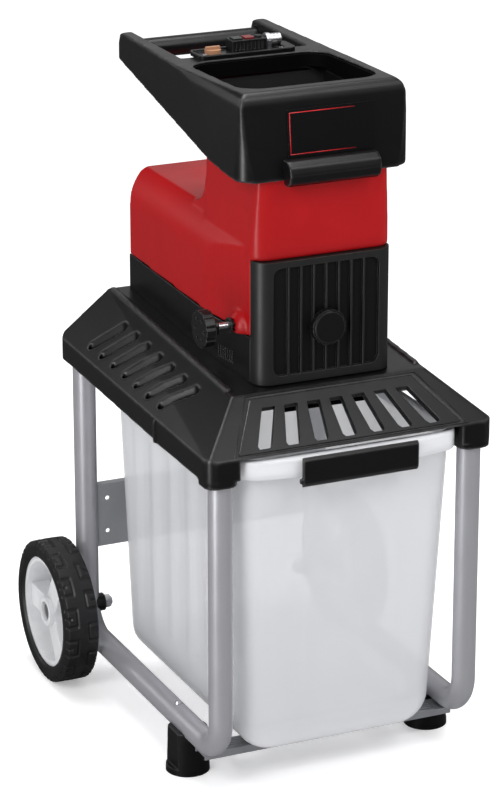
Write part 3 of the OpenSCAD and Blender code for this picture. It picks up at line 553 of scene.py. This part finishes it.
def collection_box():
    """Thin drawn tote: round bottom, fluted sides, flanged rim with a bowed front band."""
    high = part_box("collection_box")[1]
    # each level is height, half width, front, rear, corner radius and depth of the side flutes
    levels = []
    round_steps, wall_steps = 8, 18
    for j in range(round_steps + 1):
        a = math.radians(-90 + 90 * j / round_steps)
        out = math.cos(a)
        levels.append(((92 + 40 * math.sin(a)) * mm, (100 + 39 * out) * mm, (-238 - 10 * out) * mm,
                       (146 + 9 * out) * mm, (14 + 8 * out) * mm, 0.0))
    for j in range(1, wall_steps + 1):
        t = j / wall_steps
        fade = smoothstep(0.06, 0.14, t) * (1 - smoothstep(0.86, 0.93, t))
        levels.append(((92 + 360 * t) * mm, (139 + 12 * t) * mm, (-248 - 26 * t) * mm,
                       (155 + 14 * t) * mm, (22 + 5 * t) * mm, 3.2 * mm * fade))
    levels.append((474 * mm, 151.2 * mm, -274.2 * mm, 169.2 * mm, 27 * mm, 0.0))
    levels.append((478.6 * mm, 152.4 * mm, -275.6 * mm, 170.4 * mm, 27 * mm, 0.0))
    bm = bmesh.new()
    rows = []
    for z, half, front, rear, corner, flute in levels:
        rows.append([bm.verts.new((x, y, z)) for x, y in box_loop(half, front, rear, corner, flute)])
    # flange out to the rim, over its round edge and down the band, which is deep only at the front
    top = high.z - 1.1 * mm
    band = ((3.4, 0.0, 0.45), (1.6, 0.25, 1), (0.6, 1.6, 1), (0.1, 4, 1), (0.0, 9, 1), (0.2, None, 1))
    for inset, drop, bowed in band:
        loop = box_loop(high.x - (inset + 1) * mm, (-281 + inset) * mm, (175 - inset) * mm, 24 * mm,
                        bow=19 * mm * bowed)
        row = []
        for x, y in loop:
            deep = 25 * mm if drop is None else drop * mm
            limit = 10 * mm + 15 * mm * (1 - smoothstep(-246 * mm, -232 * mm, y))
            row.append(bm.verts.new((x, y, top - min(deep, limit))))
        rows.append(row)
    grid_faces(bm, rows)
    bottom = [rows[0]]
    middle_y = -46 * mm
    for k, z in ((0.97, 52 * mm), (0.7, 53.2 * mm), (0.4, 53.2 * mm)):
        bottom.append([bm.verts.new((v.co.x * k, (v.co.y - middle_y) * k + middle_y, z)) for v in rows[0]])
    grid_faces(bm, bottom[::-1])
    bm.faces.new(bottom[-1][::-1])
    bmesh.ops.recalc_face_normals(bm, faces=bm.faces)
    obj = piece("drawn_box", from_bmesh(bm, "drawn_box"), FINISHES["clear_box"], "box", "clear_box",
                "collection_box")
    wall = obj.modifiers.new("wall", "SOLIDIFY")
    wall.thickness = 1.9 * mm
    wall.offset = -0.6


# ---------- tray details ----------


def slope_point(u, v, lift):
    """A point on the front slope: u across, v up the slope from its upper edge, lift off it."""
    lean = math.radians(38.95)
    y = -211 * mm + v * math.cos(lean) - lift * math.sin(lean)
    z = 546 * mm + v * math.sin(lean) + lift * math.cos(lean)
    return (u, y, z)


def grille_outline():
    """Raised outline round the grille field."""
    corners = [(-122, -3.5), (122, -3.5), (168, -91.5), (-168, -91.5)]
    outline = [slope_point(u * mm, v * mm, -0.2 * mm) for u, v in corners]
    bar("grille_outline", outline, 1.5 * mm, FINISHES["grille_black"], "frame", "grille_black", closed=True)


def label_border():
    """Thin red lines laid in the label's own grooves on three sides."""
    lean = Matrix.Translation((0, -199 * mm, 828 * mm)) @ Matrix.Rotation(math.radians(-6.07), 4, "X")
    lines = ((-51, 42, 26.5, 27.7), (-51, 42, 80, 81.2), (-51, -49.8, 27.7, 80))
    bm = bmesh.new()
    for x0, x1, z0, z1 in lines:
        made = bmesh.ops.create_cube(bm, size=1.0)["verts"]
        place = Matrix.Translation(((x0 + x1) / 2 * mm, -1.15 * mm, (z0 + z1) / 2 * mm))
        size = Matrix.Diagonal(((x1 - x0) * mm, 0.5 * mm, (z1 - z0) * mm, 1))
        bmesh.ops.transform(bm, matrix=lean @ place @ size, verts=made)
    bmesh.ops.bevel(bm, geom=bm.edges[:], offset=0.12 * mm, segments=2, affect="EDGES")
    piece("label_border", from_bmesh(bm, "label_border"), RED_LINE, "frame", "button_red")


# ---------- build ----------

for side in ("left", "right"):
    tyre(side)
collection_box()
softened("upper_housing", "soft_upper_housing", "frame", 2.2 * mm, 14)
softened("hopper", "soft_hopper", "frame", 1.5 * mm, 22)
softened("tray", "soft_tray", "frame", 1.6 * mm, 8)
softened("front_grip", "soft_front_grip", "frame", 1.0 * mm, 34)
softened("box_catch", "soft_box_catch", "catch", 1.2 * mm, 8)
grille_outline()
label_border()


# ---------- stage, lights and camera ----------


def floor():
    """Pale studio floor: it glows a little more far away, and gloss sees it dimmed."""
    m = Finish("pale_floor")
    away = m.add("ShaderNodeVectorMath", operation="LENGTH")
    m.link(m.place, away.inputs[0])
    glossy = m.add("ShaderNodeLightPath").outputs["Is Glossy Ray"]
    dimmed = m.span(glossy, 0, 1, 1, 0.1)
    glow = m.times(m.span(away.outputs["Value"], 1.0, 5.5, 0.32, 0.8), dimmed)
    m.link(glow, m.shader.inputs["Emission Strength"])
    m.set(Specular_IOR_Level=0.1, Emission_Color=(1, 1, 1, 1))
    pale = m.mix(m.span(m.noise(3, 3), 0.3, 0.7), srgb(244, 244, 245), srgb(248, 248, 249))
    m.finish(m.mix(glossy, pale, srgb(70, 70, 71)), m.span(m.noise(8, 3), 0.3, 0.7, 0.6, 0.7))
    bm = bmesh.new()
    bmesh.ops.create_grid(bm, x_segments=8, y_segments=8, size=14)
    obj = bpy.data.objects.new("studio_floor", from_bmesh(bm, "studio_floor"))
    obj.data.materials.append(m.mat)
    bpy.context.scene.collection.objects.link(obj)


def area_light(name, place, aim, size, watts, matt=True, gloss=True):
    """A soft box that lights matt tones, or draws highlights, or both."""
    data = bpy.data.lights.new(name, "AREA")
    data.shape = "RECTANGLE"
    data.size, data.size_y = size
    data.energy = watts
    obj = bpy.data.objects.new(name, data)
    obj.location = place
    obj.rotation_euler = (Vector(aim) - Vector(place)).to_track_quat("-Z", "Y").to_euler()
    obj.visible_diffuse = matt
    obj.visible_glossy = gloss
    bpy.context.scene.collection.objects.link(obj)


def camera():
    """Long lens from the front left, a little above."""
    az, el, distance = math.radians(-24.44), math.radians(19.16), 4.512
    target = Vector((0, 0.021, 0.468))
    back = Vector((math.sin(az) * math.cos(el), -math.cos(az) * math.cos(el), math.sin(el)))
    right = Vector((math.cos(az), math.sin(az), 0))
    up = back.cross(right)
    data = bpy.data.cameras.new("camera")
    data.sensor_fit = "VERTICAL"
    data.sensor_height = 36
    data.lens = 147.6
    data.shift_x, data.shift_y = -0.00775, -0.01825
    obj = bpy.data.objects.new("camera", data)
    turned = Matrix((right, up, back)).transposed().to_4x4()
    obj.matrix_world = Matrix.Translation(target + back * distance) @ turned
    bpy.context.scene.collection.objects.link(obj)
    bpy.context.scene.camera = obj


def sky(strength, in_gloss):
    """Even white sky, dimmer where gloss reflects it."""
    world = bpy.data.worlds.new("studio")
    world.use_nodes = True
    tree = world.node_tree
    background = tree.nodes["Background"]
    background.inputs["Color"].default_value = (1, 1, 1, 1)
    level = tree.nodes.new("ShaderNodeMapRange")
    level.inputs["To Min"].default_value = strength
    level.inputs["To Max"].default_value = in_gloss
    tree.links.new(tree.nodes.new("ShaderNodeLightPath").outputs["Is Glossy Ray"], level.inputs["Value"])
    tree.links.new(level.outputs["Result"], background.inputs["Strength"])
    bpy.context.scene.world = world


floor()
sky(0.4, 0.06)
middle = (0, 0, 0.5)
area_light("key", (-2.3, -1.7, 2.2), middle, (1.0, 1.5), 50)
area_light("strip", (-1.5, -0.72, 0.52), (0, 0, 0.85), (0.3, 0.95), 14, matt=False)
area_light("gleam", (0.8, -0.85, 2.7), (0, -0.2, 0.93), (1.0, 0.5), 6, matt=False)
area_light("sheen", (1.25, 2.8, 2.0), (0, 0, 0.9), (2.6, 1.4), 7)
area_light("front", (0.9, -2.4, 2.9), middle, (1.0, 1.6), 26)
area_light("side", (2.6, -0.5, 1.4), middle, (0.7, 1.8), 26, gloss=False)
area_light("top", (0.0, 0.4, 2.9), middle, (1.8, 1.2), 44)
area_light("edge", (-1.7, 2.0, 1.5), middle, (0.7, 1.6), 8)
camera()
bpy.context.scene.view_settings.view_transform = "Standard"
